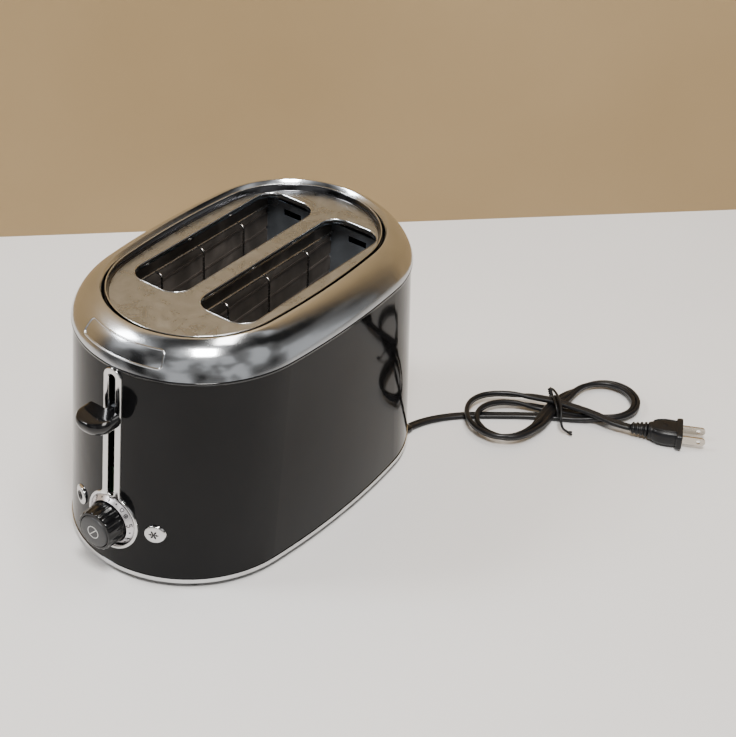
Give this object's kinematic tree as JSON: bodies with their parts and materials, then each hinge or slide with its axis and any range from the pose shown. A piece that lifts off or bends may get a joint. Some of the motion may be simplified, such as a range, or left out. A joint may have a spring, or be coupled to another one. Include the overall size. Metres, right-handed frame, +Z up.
{
  "type": "pop up toaster",
  "caption": "Oval two-slot pop up toaster with a keyhole lever and dial trim, a sliding bread carriage, a crumb tray and a coiled flat lead.",
  "frame": {"origin": "on the table under the middle of the body's bounding box, with the lever knob and tray handle included and the lead left out", "axes": "+Z up, +Y along the long side from the control end to the rear, +X to the right seen from the control end"},
  "size_m": [0.3203, 0.404, 0.1753],
  "materials": {
    "painted_shell": "satin charcoal enamel",
    "polished_steel": "polished stainless steel",
    "brushed_deck": "fine brushed, with smudges",
    "chrome_trim": "bright",
    "dial_silver": "satin silver with printed scale",
    "black_plastic": "gloss",
    "rubber_foot": "matt",
    "pan_steel": "matt black",
    "chamber_steel": "zinc plated",
    "mica": "layered mica",
    "ribbon": "oxidised resistance ribbon",
    "guard_wire": "plated wire",
    "nylon": "moulded nylon",
    "core_iron": "plain",
    "copper_coil": "enamelled winding",
    "circuit_board": "glass fibre board",
    "cord_jacket": "flexible vinyl",
    "tie_wire": "paper covered wire",
    "nickel_blade": "nickel plated"
  },
  "bodies": {
    "housing": {"bagel_switch": "nylon", "base_band": "chrome_trim", "board_bracket": "black_plastic", "bottom_pan": "pan_steel", "browning_control": "nylon", "cancel_switch": "nylon", "carriage_spring": "guard_wire", "control_bezel": "chrome_trim", "control_board": "circuit_board", "cord_bundle": "cord_jacket", "dial_scale": "dial_silver", "foot_front_left": "rubber_foot", "foot_front_right": "rubber_foot", "foot_rear_left": "rubber_foot", "foot_rear_right": "rubber_foot", "front_frame_plate": "chamber_steel", "frozen_switch": "nylon", "guide_rod": "guard_wire", "heat_shield_left": "chamber_steel", "heat_shield_right": "chamber_steel", "heating_ribbon_centre": "ribbon", "heating_ribbon_left": "ribbon", "heating_ribbon_right": "ribbon", "lead_clip": "black_plastic", "magnet_coil": "copper_coil", "magnet_core": "core_iron", "mica_centre": "mica", "mica_left": "mica", "mica_right": "mica", "plug_blade_1": "nickel_blade", "plug_blade_2": "nickel_blade", "plug_body": "cord_jacket", "plug_sleeve": "cord_jacket", "power_contacts": "nylon", "power_cord": "cord_jacket", "power_cord_tail": "cord_jacket", "rear_frame_plate": "chamber_steel", "shell": "painted_shell", "shoulder_ring": "polished_steel", "terminal_block": "nylon", "top_deck": "brushed_deck", "twist_tie": "tie_wire"},
    "carriage": {"carriage_bracket": "chamber_steel", "carriage_bush": "nylon", "lever_arm": "chamber_steel", "lever_knob": "black_plastic", "magnet_keeper": "chamber_steel", "contact_pusher": "nylon", "bread_rack_left": "chamber_steel", "bread_rack_right": "chamber_steel"},
    "dial": {"browning_knob": "black_plastic"},
    "cancel": {"cancel_button": "black_plastic"},
    "bagel": {"bagel_button": "chrome_trim"},
    "frozen": {"frozen_button": "chrome_trim"},
    "tray": {"crumb_tray": "chamber_steel", "tray_handle": "black_plastic"},
    "guard_left_inner": {"bread_guard_left_inner": "guard_wire"},
    "guard_left_outer": {"bread_guard_left_outer": "guard_wire"},
    "guard_right_inner": {"bread_guard_right_inner": "guard_wire"},
    "guard_right_outer": {"bread_guard_right_outer": "guard_wire"}
  },
  "joints": [
    {"name": "carriage_slide", "type": "slide", "parent": "housing", "child": "carriage", "axis": [0, 0, 1], "range_m": [-0.0535, 0.02], "stiffness_N_per_m": 150, "springref_m": 0.012, "deforming": ["carriage_spring"]},
    {"name": "browning_turn", "type": "hinge", "parent": "housing", "child": "dial", "pos_m": [0, -0.133, 0.0405], "axis": [0, -1, 0], "range_deg": [-150, 150]},
    {"name": "cancel_press", "type": "slide", "parent": "housing", "child": "cancel", "axis": [0, 1, 0], "range_m": [0, 0.002], "stiffness_N_per_m": 600},
    {"name": "bagel_press", "type": "slide", "parent": "housing", "child": "bagel", "axis": [0, 1, 0], "range_m": [0, 0.0018], "stiffness_N_per_m": 600},
    {"name": "frozen_press", "type": "slide", "parent": "housing", "child": "frozen", "axis": [0, 1, 0], "range_m": [0, 0.0018], "stiffness_N_per_m": 600},
    {"name": "tray_slide", "type": "slide", "parent": "housing", "child": "tray", "axis": [0, 1, 0], "range_m": [0, 0.15]},
    {"name": "guard_left_outer_turn", "type": "hinge", "parent": "housing", "child": "guard_left_outer", "pos_m": [-0.0434, 0.007, 0.038], "axis": [0, 1, 0], "range_deg": [-1.88, 4.95]},
    {"name": "guard_left_inner_turn", "type": "hinge", "parent": "housing", "child": "guard_left_inner", "pos_m": [-0.012, 0.007, 0.038], "axis": [0, 1, 0], "range_deg": [-4.95, 1.88]},
    {"name": "guard_right_inner_turn", "type": "hinge", "parent": "housing", "child": "guard_right_inner", "pos_m": [0.012, 0.007, 0.038], "axis": [0, 1, 0], "range_deg": [-1.88, 4.95]},
    {"name": "guard_right_outer_turn", "type": "hinge", "parent": "housing", "child": "guard_right_outer", "pos_m": [0.0434, 0.007, 0.038], "axis": [0, 1, 0], "range_deg": [-4.95, 1.88]}
  ],
  "couplings": [
    {"joint": "guard_left_outer_turn", "follows": "carriage_slide", "rad_per_m": -1.6},
    {"joint": "guard_left_inner_turn", "follows": "carriage_slide", "rad_per_m": 1.6},
    {"joint": "guard_right_inner_turn", "follows": "carriage_slide", "rad_per_m": -1.6},
    {"joint": "guard_right_outer_turn", "follows": "carriage_slide", "rad_per_m": 1.6}
  ]
}
